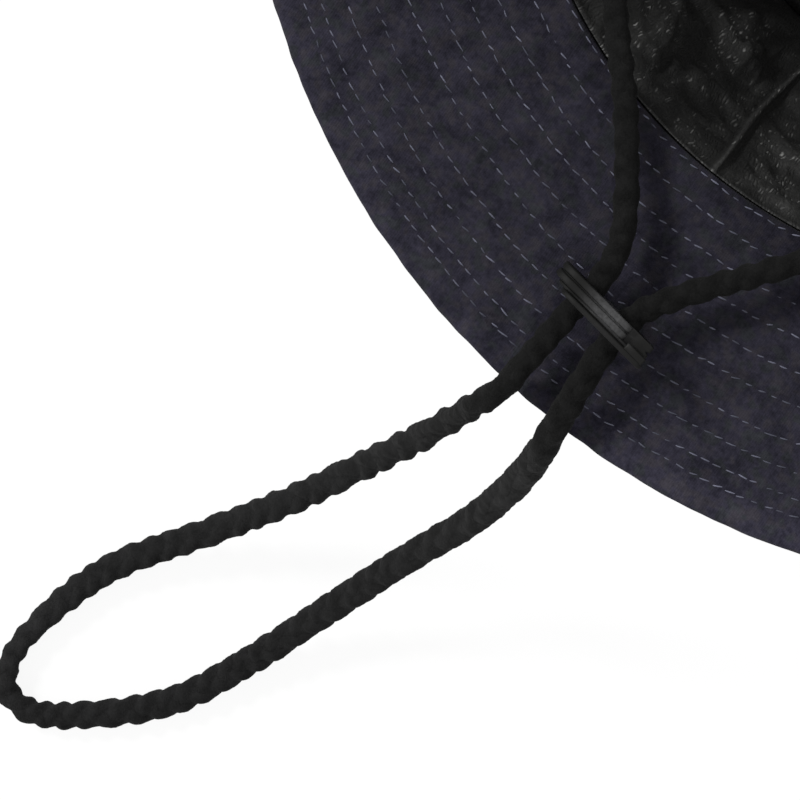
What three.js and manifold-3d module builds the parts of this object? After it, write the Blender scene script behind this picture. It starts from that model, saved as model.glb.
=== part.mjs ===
// Bush hat of navy cotton, lying upside down on its crown, with a mesh lining and a braided
// chin cord that a slider holds in a loop. Millimetres, +Z up, origin on the floor under the crown.
import * as THREE from "three";
import { mergeVertices } from "three/addons/utils/BufferGeometryUtils.js";
import Module from "manifold-3d";

const wasm = await Module();
wasm.setup();

// Driving dimensions
const gap = 0.3; // between pieces that touch
const openingHalfWidth = 94; // seam of brim and crown, from the middle to an ear
const openingHalfLength = 94; // the same seam, from the middle to the front
const tipHalfWidth = 80; // the crown's flat top panel
const tipHalfLength = 82;
const crownHeight = 85; // floor to the brim's visible face at the seam
const cottonThickness = 1.5;
const seamAllowance = 1.8; // how far the crown's rim reaches under the brim
const brimWidth = 52;
const brimThickness = 2.4;
const brimRise = 7; // degrees that the brim climbs outwards
const brimInnerRound = 0.7; // rounding of the brim's seam edge
const meshThickness = 1;
const liningDrop = 1; // how far the lining's edge lies below the brim's face
const liningBillow = 3.2; // how far the loose lining stands up off the crown's top
const cordDiameter = 5.5;
const cordSides = 10;
const cordSteps = 80;
const sliderLength = 22.4;
const sliderHeight = 13;
const sliderCorner = 3;
const sliderEndCorner = 1.2; // at the top of its far end
const sliderHole = 6.6;
const sliderHoleSpacing = 9.2;
const sliderStep = 4.2; // height over its middle to which the ribs step down at the far end
const sliderLean = 14; // degrees that its top leans to the hat's middle
const sliderTurn = -10.5; // degrees that it is turned from the hat's width
const sliderPlace = new THREE.Vector3(-11, -122.7, 97.2);
const hatFaceCount = 72; // faces round the hat
const liningTopFaceCount = 36;

// Slow waves of the soft cloth: the share of the named size that each adds, and where it peaks
const openingWaves = [{ cycles: 2, peak: 30, share: 0.014 }];
const edgeWaves = [
  { cycles: 2, peak: -61.5, share: 0.0225 },
  { cycles: 5, peak: -28, share: 0.002 },
];
const brimLifts = [
  { cycles: 2, peak: -90, share: 0.035 },
  { cycles: 3, peak: 45, share: 0.018 },
  { cycles: 5, peak: 150, share: 0.012 },
];

// Dents of the crown's side: place, height and reach up as shares of the crown's height
const crownDents = [
  { at: 20, height: 0.55, depth: 0.045, spread: 15, reach: 0.3 },
  { at: 74, height: 0.4, depth: 0.03, spread: 20, reach: 0.25 },
  { at: 132, height: 0.6, depth: 0.05, spread: 14, reach: 0.3 },
  { at: 196, height: 0.45, depth: 0.035, spread: 18, reach: 0.35 },
  { at: 305, height: 0.6, depth: 0.03, spread: 13, reach: 0.25 },
];

// Folds of the loose lining: depth as a share of the crown's height, lean in degrees from floor to rim
const liningFolds = [
  { at: -128, lean: 26, depth: 0.045, spread: 6 },
  { at: -108, lean: -22, depth: 0.035, spread: 5.5 },
  { at: -84, lean: 30, depth: 0.05, spread: 6 },
  { at: -62, lean: -14, depth: 0.03, spread: 5.5 },
  { at: -22, lean: 24, depth: 0.04, spread: 7 },
  { at: 26, lean: -28, depth: 0.035, spread: 6.5 },
  { at: 64, lean: 18, depth: 0.045, spread: 7 },
  { at: 112, lean: -20, depth: 0.04, spread: 7 },
  { at: 158, lean: 26, depth: 0.035, spread: 6 },
  { at: -160, lean: -16, depth: 0.04, spread: 6.5 },
];

// The cord's route: from the seam at one ear, over the brim, through the slider, down to the floor,
// round the loop and back to the other ear
const cordRoute = [
  [-89.8, -14.2, 80],
  [-86.5, -15.4, 79.9],
  [-79.6, -21, 79.8],
  [-66, -38.5, 80.7],
  [-42, -76, 86],
  [-27.4, -92.6, 90.8],
  [-16, -110, 94.8],
  [-14.9, -118, 96.2],
  [-16.1, -126, 98],
  [-17.6, -140, 98.4],
  [-18.3, -145.6, 97.2],
  [-19.9, -150.4, 94.1],
  [-22, -162.2, 75],
  [-24.9, -174.5, 58.1],
  [-31.3, -194.8, 34.8],
  [-38.4, -213.3, 19.8],
  [-48.4, -232.8, 8.9],
  [-60.9, -254, 3.5],
  [-66.1, -271.1, 3.1],
  [-66.9, -282.1, 3.1],
  [-64.2, -288.1, 3.1],
  [-58, -289.4, 3.1],
  [-46.7, -282, 3.1],
  [-34.6, -269, 3.1],
  [-26.2, -250.7, 4.9],
  [-20.8, -234.3, 10],
  [-13.2, -207.7, 25.8],
  [-7.6, -187.3, 43.9],
  [-5.3, -164.2, 73.9],
  [-5.8, -150.6, 94.3],
  [-6.2, -145.8, 97.2],
  [-6.6, -140.4, 98.4],
  [-7.1, -127.4, 98.1],
  [-5.9, -119.4, 96.2],
  [9.2, -99.1, 93],
  [31, -74.6, 88.6],
  [65, -35.2, 82.6],
  [78, -21.4, 80.4],
  [85.6, -15.3, 79.9],
  [88.7, -14.1, 80],
];

const radians = THREE.MathUtils.degToRad;

// Sum of a table's waves at an angle in degrees
const waves = (rows, angle) =>
  rows.reduce((sum, row) => sum + row.share * Math.cos(radians(row.cycles * (angle - row.peak))), 0);

// Angle from one direction to another, between -180 and 180 degrees
const turnBetween = (from, to) => THREE.MathUtils.euclideanModulo(to - from + 180, 360) - 180;

const bell = (distance, spread) => Math.exp(-((distance / spread) ** 2));

// Distance from the middle to an oval's edge at an angle
const ovalRadius = (halfWidth, halfLength, angle) =>
  (halfWidth * halfLength) /
  Math.hypot(halfLength * Math.cos(radians(angle)), halfWidth * Math.sin(radians(angle)));

// Closed mesh of a profile carried round the Z axis. profile(angle) lists [radius, height] points that
// run anticlockwise. A profile that starts and ends on the axis makes a disc, any other one a ring.
function roundSolid(profile, faces) {
  const places = [];
  const index = [];
  const first = profile(0);
  const disc = first[0][0] === 0;
  const rows = disc ? first.length - 2 : first.length;
  for (let i = 0; i < faces; i++) {
    const angle = (i * 360) / faces;
    const points = profile(angle);
    for (const [radius, height] of disc ? points.slice(1, -1) : points) {
      places.push(radius * Math.cos(radians(angle)), radius * Math.sin(radians(angle)), height);
    }
  }
  const at = (i, j) => (i % faces) * rows + (j % rows);
  const lastRow = disc ? rows - 1 : rows;
  for (let i = 0; i < faces; i++) {
    for (let j = 0; j < lastRow; j++) {
      index.push(at(i, j), at(i + 1, j), at(i + 1, j + 1), at(i, j), at(i + 1, j + 1), at(i, j + 1));
    }
  }
  if (disc) {
    const low = faces * rows;
    places.push(0, 0, first[0][1], 0, 0, first[first.length - 1][1]);
    for (let i = 0; i < faces; i++) {
      index.push(low, at(i + 1, 0), at(i, 0), low + 1, at(i, rows - 1), at(i + 1, rows - 1));
    }
  }
  const geometry = new THREE.BufferGeometry();
  geometry.setAttribute("position", new THREE.Float32BufferAttribute(places, 3));
  geometry.setIndex(index);
  return geometry;
}

// Shares from 0 to 1 in equal steps
const steps = (count) => Array.from({ length: count + 1 }, (_, i) => i / count);

// Crown
const wallFoot = cottonThickness + gap;
const wallRim = crownHeight - brimThickness - gap;

const seamRadius = (angle) =>
  ovalRadius(openingHalfWidth, openingHalfLength, angle) + openingHalfWidth * waves(openingWaves, angle);

// Outside of the crown's side at a height, with its dents
function crownRadius(angle, height) {
  const share = THREE.MathUtils.clamp((height - wallFoot) / (wallRim - wallFoot), 0, 1);
  const foot = ovalRadius(tipHalfWidth, tipHalfLength, angle);
  const rim = seamRadius(angle) + seamAllowance;
  let dent = 0;
  for (const row of crownDents) {
    const across = bell(turnBetween(row.at, angle), row.spread);
    dent += row.depth * crownHeight * across * bell(share - row.height, row.reach);
  }
  return foot + (rim - foot) * share - dent * Math.sin(Math.PI * share);
}

// A standing wall: up its outside, down its inside
function wall(foot, rim, rows, outside, thickness) {
  return (angle) => {
    const heights = steps(rows).map((share) => foot + (rim - foot) * share);
    const outer = heights.map((height) => [outside(angle, height), height]);
    const inner = outer.map(([radius, height]) => [radius - thickness, height]);
    return [...outer, ...inner.reverse()];
  };
}

function crownWall() {
  return roundSolid(wall(wallFoot, wallRim, 6, crownRadius, cottonThickness), hatFaceCount);
}

function crownTop() {
  const rounding = cottonThickness / 3;
  const profile = (angle) => {
    const edge = ovalRadius(tipHalfWidth, tipHalfLength, angle) + rounding;
    return [
      [0, 0],
      [edge - rounding, 0],
      [edge, rounding],
      [edge, cottonThickness - rounding],
      [edge - rounding, cottonThickness],
      [0, cottonThickness],
    ];
  };
  return roundSolid(profile, hatFaceCount);
}

// Brim

// The brim's visible face at a share of the way out from the seam: [radius, height]
function brimFace(angle, share) {
  const rise = radians(brimRise);
  const reach = brimWidth * Math.cos(rise);
  const edge = seamRadius(angle) + reach + openingHalfWidth * waves(edgeWaves, angle);
  const radius = seamRadius(angle) + (edge - seamRadius(angle)) * share;
  const lift = brimWidth * waves(brimLifts, angle) * share ** 2;
  return [radius, crownHeight + brimWidth * Math.sin(rise) * share + lift];
}

function brim() {
  const rows = 6;
  const fold = brimThickness / 2;
  const profile = (angle) => {
    const face = steps(rows).map((share) => brimFace(angle, share));
    const [edgeRadius, edgeHeight] = face[rows];
    const back = face.map(([radius, height]) => [radius, height - brimThickness]);
    back[rows][0] -= fold / 2;
    face[rows][0] -= fold / 2;
    face[0][0] += brimInnerRound;
    const inner = [seamRadius(angle), crownHeight - brimInnerRound];
    return [...back, [edgeRadius, edgeHeight - fold], ...face.reverse(), inner];
  };
  return roundSolid(profile, hatFaceCount);
}

// Lining
const liningRim = crownHeight - liningDrop;
const liningStandoff = 2 * gap; // off the crown's cloth, so that its edge fits inside the brim's

function liningRadius(angle, height) {
  const share = (height - wallFoot) / (liningRim - wallFoot);
  let fold = 0;
  for (const row of liningFolds) {
    const middle = row.at + row.lean * (share - 0.5);
    fold += row.depth * crownHeight * bell(turnBetween(middle, angle), row.spread);
  }
  return crownRadius(angle, height) - cottonThickness - liningStandoff - fold * Math.sin(Math.PI * share);
}

function liningWall() {
  return roundSolid(wall(wallFoot, liningRim, 8, liningRadius, meshThickness), hatFaceCount);
}

// The lining's round panel, billowed up off the crown's top in low mounds that end at its edge
function liningTop() {
  const rings = [0.3, 0.55, 0.8];
  const profile = (angle) => {
    const edge = liningRadius(angle, wallFoot) - meshThickness - gap;
    const mound = (share) => {
      const swell = 0.6 + 0.4 * Math.cos(radians(3 * angle + 200 * share));
      return wallFoot + liningBillow * Math.sin(Math.PI * share) * swell;
    };
    const low = rings.map((share) => [edge * share, mound(share)]);
    const high = low.map(([radius, height]) => [radius, height + meshThickness]);
    const rim = [
      [edge, wallFoot],
      [edge, wallFoot + meshThickness],
    ];
    return [[0, wallFoot], ...low, ...rim, ...high.reverse(), [0, wallFoot + meshThickness]];
  };
  return roundSolid(profile, liningTopFaceCount);
}

// Chin cord
function chinCord() {
  const route = new THREE.CatmullRomCurve3(cordRoute.map((point) => new THREE.Vector3(...point)));
  const section = new THREE.Shape();
  for (let i = 0; i < cordSides; i++) {
    const angle = (i * 2 * Math.PI) / cordSides;
    const x = (cordDiameter / 2) * Math.cos(angle);
    const y = (cordDiameter / 2) * Math.sin(angle);
    if (i === 0) section.moveTo(x, y);
    else section.lineTo(x, y);
  }
  return new THREE.ExtrudeGeometry(section, { steps: cordSteps, extrudePath: route });
}

// Slider: a moulded oblong with two holes. Its layers, from the hat's side to the loop's, differ in
// how far their long edges and near end are set back, and how far the top of their far end steps back:
// two ribs, a deep slit and a plate. A block at the far end thickens the plate beyond the ribs' ends.
const sliderLayers = [
  { thick: 1.35, setBack: 0.5, startBack: 0, stepBack: 5.3 },
  { thick: 0.3, setBack: 0.9, startBack: 0.4, stepBack: 5.1 },
  { thick: 1.35, setBack: 0.4, startBack: 0, stepBack: 5.3 },
  { thick: 0.7, setBack: 1.7, startBack: 1.4, stepBack: 0 },
  { thick: 1, setBack: 0, startBack: 3, stepBack: 0 },
];
const endBlock = { long: 4.4, thick: 2.3, setBack: 0.3 };
const sliderThickness = sliderLayers.reduce((sum, layer) => sum + layer.thick, 0);

function sliderLayerShape({ setBack, startBack, stepBack }) {
  const left = -sliderLength / 2 + startBack;
  const right = sliderLength / 2 - setBack;
  const rightTop = right - stepBack;
  const half = sliderHeight / 2 - setBack;
  const corner = sliderCorner;
  const shape = new THREE.Shape();
  shape.moveTo(left + corner, -half);
  shape.lineTo(right - corner, -half);
  shape.absarc(right - corner, -half + corner, corner, -Math.PI / 2, 0);
  if (stepBack > 0) {
    const edge = sliderEndCorner / 2;
    shape.lineTo(right, sliderStep - edge);
    shape.absarc(right - edge, sliderStep - edge, edge, 0, Math.PI / 2);
    shape.lineTo(rightTop, sliderStep);
  }
  shape.lineTo(rightTop, half - sliderEndCorner);
  shape.absarc(rightTop - sliderEndCorner, half - sliderEndCorner, sliderEndCorner, 0, Math.PI / 2);
  shape.lineTo(left + corner, half);
  shape.absarc(left + corner, half - corner, corner, Math.PI / 2, Math.PI);
  shape.lineTo(left, -half + corner);
  shape.absarc(left + corner, -half + corner, corner, Math.PI, 1.5 * Math.PI);
  for (const side of [-1, 1]) {
    const hole = new THREE.Path();
    hole.absarc((side * sliderHoleSpacing) / 2, 0, sliderHole / 2, 0, 2 * Math.PI, true);
    shape.holes.push(hole);
  }
  return shape;
}

// Closed geometry to solid and back, for joining the slider's layers
function toSolid(geometry) {
  const plain = geometry.clone();
  plain.deleteAttribute("normal");
  plain.deleteAttribute("uv");
  const merged = mergeVertices(plain, 1e-4);
  return new wasm.Manifold(
    new wasm.Mesh({
      numProp: 3,
      vertProperties: new Float32Array(merged.attributes.position.array),
      triVerts: new Uint32Array(merged.index.array),
    }),
  );
}

function toGeometry(solid) {
  const mesh = solid.getMesh();
  const geometry = new THREE.BufferGeometry();
  geometry.setAttribute("position", new THREE.BufferAttribute(new Float32Array(mesh.vertProperties), 3));
  geometry.setIndex(Array.from(mesh.triVerts));
  return geometry;
}

function cordSlider() {
  let solid = null;
  let depth = -sliderThickness / 2;
  for (const layer of sliderLayers) {
    const slab = new THREE.ExtrudeGeometry(sliderLayerShape(layer), {
      depth: layer.thick,
      bevelEnabled: false,
      curveSegments: 5,
    });
    slab.translate(0, 0, depth);
    depth += layer.thick;
    solid = solid ? solid.add(toSolid(slab)) : toSolid(slab);
  }
  const high = sliderHeight / 2 - endBlock.setBack - sliderStep;
  const block = new THREE.BoxGeometry(endBlock.long, high, endBlock.thick - endBlock.setBack);
  block.translate(
    sliderLength / 2 - endBlock.setBack - endBlock.long / 2,
    sliderStep + high / 2,
    (sliderThickness - endBlock.thick - endBlock.setBack) / 2,
  );
  return toGeometry(solid.add(toSolid(block)));
}

// Materials
const cotton = () => new THREE.MeshStandardMaterial({ color: 0x2c2c33, roughness: 0.95, metalness: 0 });
const knit = () => new THREE.MeshStandardMaterial({ color: 0x1a1a19, roughness: 0.9, metalness: 0 });
const braid = () => new THREE.MeshStandardMaterial({ color: 0x1c1c1e, roughness: 0.85, metalness: 0 });
const plastic = () => new THREE.MeshStandardMaterial({ color: 0x18181a, roughness: 0.35, metalness: 0 });

// Assembly
function named(name, geometry, material) {
  const mesh = new THREE.Mesh(geometry, material);
  mesh.name = name;
  return mesh;
}

const group = new THREE.Group();
group.add(named("crown_top", crownTop(), cotton()));
group.add(named("crown_wall", crownWall(), cotton()));
group.add(named("brim", brim(), cotton()));
group.add(named("lining_wall", liningWall(), knit()));
group.add(named("lining_top", liningTop(), knit()));
group.add(named("chin_cord", chinCord(), braid()));

// The slider's length lies along the brim, its height stands up and leans to the hat's middle, and its
// holes run from the hat's side to the loop's
const slider = named("cord_slider", cordSlider(), plastic());
const alongBrim = new THREE.Vector3(Math.cos(radians(sliderTurn)), Math.sin(radians(sliderTurn)), 0);
const toMiddle = new THREE.Vector3(-alongBrim.y, alongBrim.x, 0);
const upright = new THREE.Vector3(0, 0, Math.cos(radians(sliderLean)));
upright.addScaledVector(toMiddle, Math.sin(radians(sliderLean)));
const holeAxis = new THREE.Vector3().crossVectors(alongBrim, upright);
slider.quaternion.setFromRotationMatrix(new THREE.Matrix4().makeBasis(alongBrim, upright, holeAxis));
slider.position.copy(sliderPlace);
group.add(slider);

export default group;
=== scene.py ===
"""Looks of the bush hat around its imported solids. Metres, +Z up out of the hollow, origin on the
floor under the crown. The hat lies upside down on its crown and the chin cord's loop hangs to the floor."""

import bpy
import numpy as np
from mathutils import Matrix, Vector


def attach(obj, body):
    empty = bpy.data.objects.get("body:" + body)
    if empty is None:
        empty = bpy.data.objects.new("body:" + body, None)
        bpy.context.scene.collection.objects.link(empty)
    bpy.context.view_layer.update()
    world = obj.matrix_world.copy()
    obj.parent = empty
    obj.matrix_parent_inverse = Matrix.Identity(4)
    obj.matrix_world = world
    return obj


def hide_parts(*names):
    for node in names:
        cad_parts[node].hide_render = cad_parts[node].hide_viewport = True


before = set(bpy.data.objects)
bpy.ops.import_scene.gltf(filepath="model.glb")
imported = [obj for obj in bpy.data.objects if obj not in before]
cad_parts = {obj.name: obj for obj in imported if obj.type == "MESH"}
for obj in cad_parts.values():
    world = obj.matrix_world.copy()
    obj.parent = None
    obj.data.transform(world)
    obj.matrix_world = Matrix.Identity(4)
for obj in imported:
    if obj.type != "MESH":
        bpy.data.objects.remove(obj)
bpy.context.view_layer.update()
mm = 0.001


# Camera
# It looks steeply down at the brim's slider end from above the hollow, turned so that the brim runs
# from the picture's upper left to its lower right.
aim = Vector((-32, -158.6, 95)) * mm
camera_distance = 1.0
view_width = 145.7 * mm
camera_tilt = np.radians(18)
camera_roll = np.radians(35)
across = np.array([1, 0, 0])
away = np.array([0, np.cos(camera_tilt), -np.sin(camera_tilt)])
back = np.array([0, np.sin(camera_tilt), np.cos(camera_tilt)])
right = np.cos(camera_roll) * across + np.sin(camera_roll) * away
up = -np.sin(camera_roll) * across + np.cos(camera_roll) * away
camera_data = bpy.data.cameras.new("camera")
camera_data.sensor_fit = "HORIZONTAL"
camera_data.sensor_width = 36
camera_data.lens = camera_data.sensor_width * camera_distance / view_width
camera = bpy.data.objects.new("camera", camera_data)
turn = Matrix(np.column_stack([right, up, back]).tolist())
camera.matrix_world = Matrix.Translation(aim + camera_distance * Vector(back)) @ turn.to_4x4()
bpy.context.scene.collection.objects.link(camera)
bpy.context.scene.camera = camera


# Chin cord
# One soft black cord, plaited from three fluffy bundles of dull yarn. It leaves the seam at one ear,
# passes through the slider, makes the chin loop on the floor and comes back to the other ear.
cord_rings = 1560
cord_sides = 48
plait_pitch = 14 * mm
plait_swing = 1.42 * mm
plait_depth = 0.6 * mm
plait_core = 1.6 * mm
bundle_radius = 1.62 * mm
bundle_softening = 0.2 * mm
fluff_height = 0.035 * mm
# Places along the cord, in metres from its first end
loop_begins = 0.19
loop_ends = 0.56
# Place in the loop where the cord's painted light is strongest
loop_turn = 0.365
lightest_loop_place = 0.338
plait_plumpness = [
    # place along the cord, spread, share that it is thicker by
    (0.341, 0.011, -0.17),
    (0.373, 0.02, 0.2),
]
cord_route = [
    (-89.8, -14.2, 80), (-86.5, -15.4, 79.9), (-79.6, -21, 79.8), (-66, -38.5, 80.7),
    (-42, -76, 86), (-27.4, -92.6, 90.8), (-16, -110, 94.8), (-14.9, -118, 96.2),
    (-16.1, -126, 98), (-17.6, -140, 98.4), (-18.3, -145.6, 97.2), (-19.9, -150.4, 94.1),
    (-22, -162.2, 75), (-24.9, -174.5, 58.1), (-31.3, -194.8, 34.8), (-38.4, -213.3, 19.8),
    (-48.4, -232.8, 8.9), (-60.9, -254, 3.5), (-66.1, -271.1, 3.1), (-66.9, -282.1, 3.1),
    (-64.2, -288.1, 3.1), (-58, -289.4, 3.1), (-46.7, -282, 3.1), (-34.6, -269, 3.1),
    (-26.2, -250.7, 4.9), (-20.8, -234.3, 10), (-13.2, -207.7, 25.8), (-7.6, -187.3, 43.9),
    (-5.3, -164.2, 73.9), (-5.8, -150.6, 94.3), (-6.2, -145.8, 97.2), (-6.6, -140.4, 98.4),
    (-7.1, -127.4, 98.1), (-5.9, -119.4, 96.2), (9.2, -99.1, 93), (31, -74.6, 88.6),
    (65, -35.2, 82.6), (78, -21.4, 80.4), (85.6, -15.3, 79.9), (88.7, -14.1, 80),
]


def even_line(points, count):
    """Centripetal Catmull-Rom curve through the points, cut into equal steps of length. Each knot
    interval is the square root of the distance between two points, and each end is mirrored."""
    p = np.vstack([2 * points[0] - points[1], points, 2 * points[-1] - points[-2]])
    knot = np.sqrt(np.linalg.norm(np.diff(p, axis=0), axis=1))[:, None]
    step = np.diff(p, axis=0)
    slope = step[:-1] / knot[:-1] - (step[:-1] + step[1:]) / (knot[:-1] + knot[1:]) + step[1:] / knot[1:]
    start, end = p[1:-2, None], p[2:-1, None]
    leave, arrive = (slope[:-1] * knot[1:-1])[:, None], (slope[1:] * knot[1:-1])[:, None]
    t = np.linspace(0, 1, 200, endpoint=False)[None, :, None]
    curve = start * (2 * t**3 - 3 * t**2 + 1) + leave * (t**3 - 2 * t**2 + t)
    curve = curve + end * (3 * t**2 - 2 * t**3) + arrive * (t**3 - t**2)
    curve = np.vstack([curve.reshape(-1, 3), points[-1]])
    run = np.concatenate([[0], np.cumsum(np.linalg.norm(np.diff(curve, axis=0), axis=1))])
    place = np.linspace(0, run[-1], count)
    return np.stack([np.interp(place, run, curve[:, k]) for k in range(3)], axis=1), place


def bell(distance, spread):
    """Bell curve of a distance."""
    return np.exp(-((distance / spread) ** 2))


def ramp(distance, spread):
    """Smooth step from 0 to 1 around the place where a distance is zero."""
    return 0.5 + 0.5 * np.tanh(distance / (2 * spread))


def plait(along, drawn_run, around):
    """Distance from the cord's middle to the plait's surface. Each of three oval bundles swings from side to
    side while it dips under one and climbs over the next, a third of a pitch behind the one before it, so
    the plait's two edges bulge in turn. It is wide in the loop, narrow where it is pulled tight, thin just
    before the loop turns back and plump just after. It also gives the place across the outermost bundle from
    -1 to 1, the run along it, and a share of painted light: the cord is painted lighter in the loop on the
    floor, most of all round one place in it, and darker where it lies on the brim, for the white floor's
    light and the brim's shade."""
    loose = ramp(along - loop_begins, 0.012) - ramp(along - loop_ends, 0.012)
    plump = 1 + sum(share * bell(along - place, spread) for place, spread, share in plait_plumpness)
    # The plait rolls slowly to and fro, and its pitch isn't quite even
    around = around + 0.3 * np.sin(along * 23)
    uneven = 0.3 * np.sin(along * 140) + 0.25 * np.sin(along * 290 + 1)
    phase = 2 * np.pi * drawn_run / plait_pitch + uneven
    sideways, upwards = np.cos(around), np.sin(around)
    swing = plait_swing * (0.6 + 0.4 * loose) * (1 - 0.45 * bell(along - loop_turn, 0.025))
    surfaces, offsets, runs = [], [], []
    for k in range(3):
        turn = phase + k * 2 * np.pi / 3
        x, y = swing * np.sin(turn), plait_depth * np.sin(2 * turn)
        high = bundle_radius * (1 + 0.07 * np.sin(along * 611 + 1.7 * k) * np.sin(along * 1047 - k))
        wide = high * np.hypot(1, swing * np.cos(turn) * 2 * np.pi / plait_pitch)
        # Where a ray from the cord's middle leaves the bundle's oval, or the core where it misses it
        a = (sideways / wide) ** 2 + (upwards / high) ** 2
        b = sideways * x / wide**2 + upwards * y / high**2
        c = (x / wide) ** 2 + (y / high) ** 2 - 1
        surface = (b + np.sqrt(np.clip(b**2 - a * c, 0, None))) / a
        surface = np.maximum(np.where(b**2 > a * c, surface, plait_core), plait_core)
        surfaces.append(surface)
        offsets.append(np.clip((sideways * surface - x) / wide, -1, 1))
        runs.append(along * 1.3 + k * 0.31 + 0 * surface)
    surfaces = np.array(surfaces)
    topmost = surfaces.argmax(axis=0)[None]
    found = bundle_softening * np.log(np.exp(surfaces / bundle_softening).sum(axis=0))
    offset = np.take_along_axis(np.array(offsets), topmost, 0)[0]
    run = np.take_along_axis(np.array(runs), topmost, 0)[0]
    found = found * plump * (0.95 + 0.05 * loose)
    # Painted light and shade: lighter along the loop on the floor and most round one place in it, darker on
    # the brim
    looseness = loose - 0.4 + 0.4 * bell(along - lightest_loop_place, 0.014) + 0 * found
    return found, offset, run, looseness


def full_turn(count):
    """Angles of a full turn in equal steps, as one row."""
    return np.linspace(0, 2 * np.pi, count, endpoint=False)[None, :]


def grid_faces(rows, columns, close_rows=False):
    """Four corners of each cell of a grid that closes along its columns: the place numbers, and the
    unwrapped row and column of each corner for a pattern's map."""
    i, j = np.meshgrid(np.arange(rows if close_rows else rows - 1), np.arange(columns), indexing="ij")
    row = np.stack([i, i, i + 1, i + 1], axis=-1).reshape(-1, 4)
    column = np.stack([j, j + 1, j + 1, j], axis=-1).reshape(-1, 4)
    return (row % rows) * columns + column % columns, row, column


def tube_faces(rings, sides):
    """Faces of a tube of rings, and of the two fans round its last two places that close its ends."""
    side = np.arange(sides)
    after = (side + 1) % sides
    last = (rings - 1) * sides
    first_fan = np.stack([0 * side + rings * sides, after, side], axis=1)
    last_fan = np.stack([0 * side + rings * sides + 1, last + side, last + after], axis=1)
    return [grid_faces(rings, sides)[0], first_fan, last_fan]


def add_piece(name, places, faces, material, corner_maps=(), point_values=(), smooth=True):
    """Mesh object from arrays of places and of four-cornered or three-cornered faces. A closed
    surface whose volume comes out negative has its faces turned round, with their maps."""
    faces = [np.asarray(f) for f in (faces if isinstance(faces, list) else [faces])]
    p = places
    volume = 0.0
    for f in faces:
        for k in range(1, f.shape[1] - 1):
            volume += np.einsum("ij,ij->", p[f[:, 0]], np.cross(p[f[:, k]], p[f[:, k + 1]]))
    if volume < 0:
        faces = [f[:, ::-1] for f in faces]
        corner_maps = [(label, [m[:, ::-1] for m in maps]) for label, maps in corner_maps]
    corners = np.concatenate([f.ravel() for f in faces])
    sizes = np.concatenate([np.full(len(f), f.shape[1]) for f in faces])
    mesh = bpy.data.meshes.new(name)
    mesh.vertices.add(len(p))
    mesh.vertices.foreach_set("co", np.ascontiguousarray(p, dtype=np.float32).ravel())
    mesh.loops.add(len(corners))
    mesh.loops.foreach_set("vertex_index", corners.astype(np.int32))
    mesh.polygons.add(len(sizes))
    mesh.polygons.foreach_set("loop_start", np.concatenate([[0], np.cumsum(sizes)[:-1]]).astype(np.int32))
    for label, maps in corner_maps:
        layer = mesh.uv_layers.new(name=label)
        layer.data.foreach_set("uv", np.concatenate([m.reshape(-1) for m in maps]).astype(np.float32))
    for label, values in point_values:
        attribute = mesh.attributes.new(label, "FLOAT", "POINT")
        attribute.data.foreach_set("value", np.ascontiguousarray(values, dtype=np.float32).ravel())
    mesh.update(calc_edges=True)
    mesh.validate()
    mesh.polygons.foreach_set("use_smooth", np.full(len(sizes), smooth))
    mesh.materials.append(material)
    piece = bpy.data.objects.new(name, mesh)
    bpy.context.scene.collection.objects.link(piece)
    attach(piece, "root")
    return piece


def add_node(tree, kind, inputs=(), **settings):
    """Shader node of a kind, with its settings made and each named input given a value or a link."""
    node = tree.nodes.new(kind)
    for label, value in settings.items():
        setattr(node, label, value)
    for label, value in dict(inputs).items():
        if isinstance(value, bpy.types.NodeSocket):
            tree.links.new(value, node.inputs[label])
        else:
            node.inputs[label].default_value = value
    return node


def blank_material(name, roughness, specular=0.5):
    """Material with only a Principled shader, which is returned with its node tree."""
    material = bpy.data.materials.new(name)
    material.use_nodes = True
    shader = material.node_tree.nodes["Principled BSDF"]
    shader.inputs["Roughness"].default_value = roughness
    shader.inputs["Specular IOR Level"].default_value = specular
    return material, material.node_tree, shader


def calculated(tree, operation, *values):
    """Output of a Math node that works on the values."""
    return add_node(tree, "ShaderNodeMath", enumerate(values), operation=operation).outputs[0]


def ranged(tree, value, low, high, to_low=0, to_high=1, **settings):
    """Value carried from one range to another and held inside it."""
    inputs = {"Value": value, "From Min": low, "From Max": high, "To Min": to_low, "To Max": to_high}
    return add_node(tree, "ShaderNodeMapRange", inputs, **settings).outputs[0]


def noise(tree, place, scale, detail, roughness=0.5):
    """Soft random value from 0 to 1 over a place."""
    inputs = {"Vector": place, "Scale": scale, "Detail": detail, "Roughness": roughness}
    return add_node(tree, "ShaderNodeTexNoise", inputs).outputs["Fac"]


def mesh_value(tree, name):
    """Value that a piece's mesh holds at each of its places."""
    return add_node(tree, "ShaderNodeAttribute", attribute_name=name).outputs["Fac"]


def stretched(tree, place, scale):
    """Place scaled by three numbers."""
    return add_node(tree, "ShaderNodeMapping", {"Vector": place, "Scale": scale}).outputs[0]


def colour_between(tree, factor, first, second):
    """Colour from the first to the second by a factor. Each is three numbers or a node's output."""
    first, second = [c if isinstance(c, bpy.types.NodeSocket) else (*c, 1) for c in (first, second)]
    inputs = {"Factor": factor, 6: first, 7: second}
    return add_node(tree, "ShaderNodeMix", inputs, data_type="RGBA").outputs[2]


def raise_surface(tree, shader, height, strength, depth):
    """Bump node from a height to a shader's normal."""
    inputs = {"Height": height, "Strength": strength, "Distance": depth}
    tree.links.new(add_node(tree, "ShaderNodeBump", inputs).outputs[0], shader.inputs["Normal"])


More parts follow.
